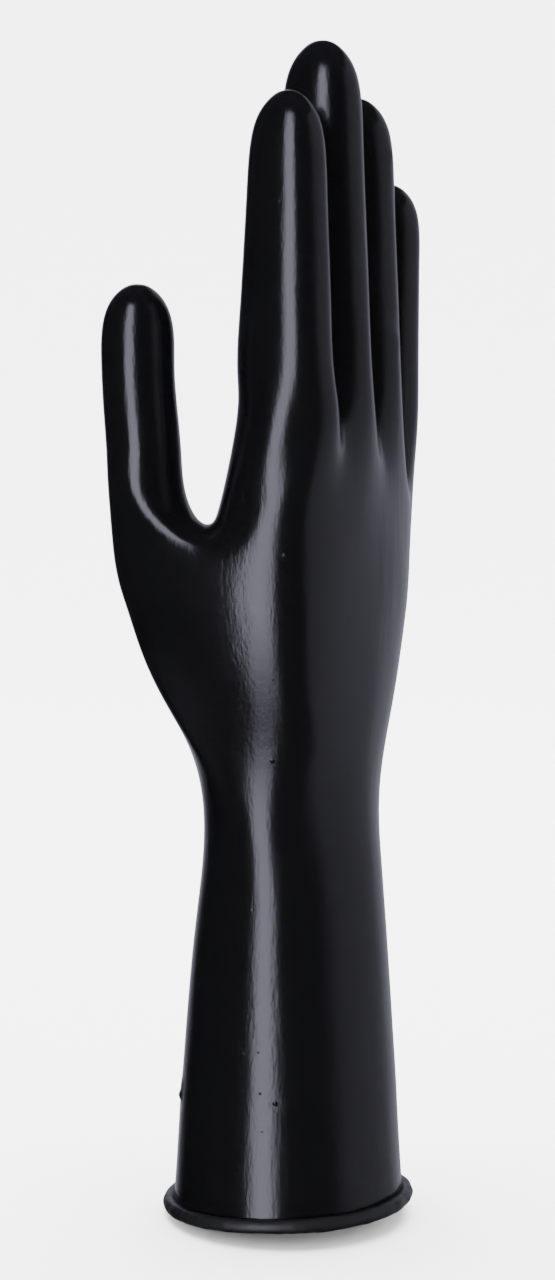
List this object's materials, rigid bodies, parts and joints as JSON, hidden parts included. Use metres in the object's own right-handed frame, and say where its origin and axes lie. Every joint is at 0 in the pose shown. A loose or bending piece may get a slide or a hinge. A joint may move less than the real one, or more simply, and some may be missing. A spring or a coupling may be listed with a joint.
{
  "type": "latex glove",
  "caption": "Long black glossy latex glove for the right hand, fingers up, with a straight sleeve and a rolled bead at the opening.",
  "frame": {"origin": "centre of the opening, on the plane under the rolled bead", "axes": "+Z from the opening to the fingertips, -Y the back of the hand, +Y the palm, -X the thumb side"},
  "size_m": [0.089, 0.0648, 0.2989],
  "materials": {
    "black_latex": "gloss"
  },
  "bodies": {
    "root": {"glove_shell": "black_latex"}
  },
  "joints": []
}
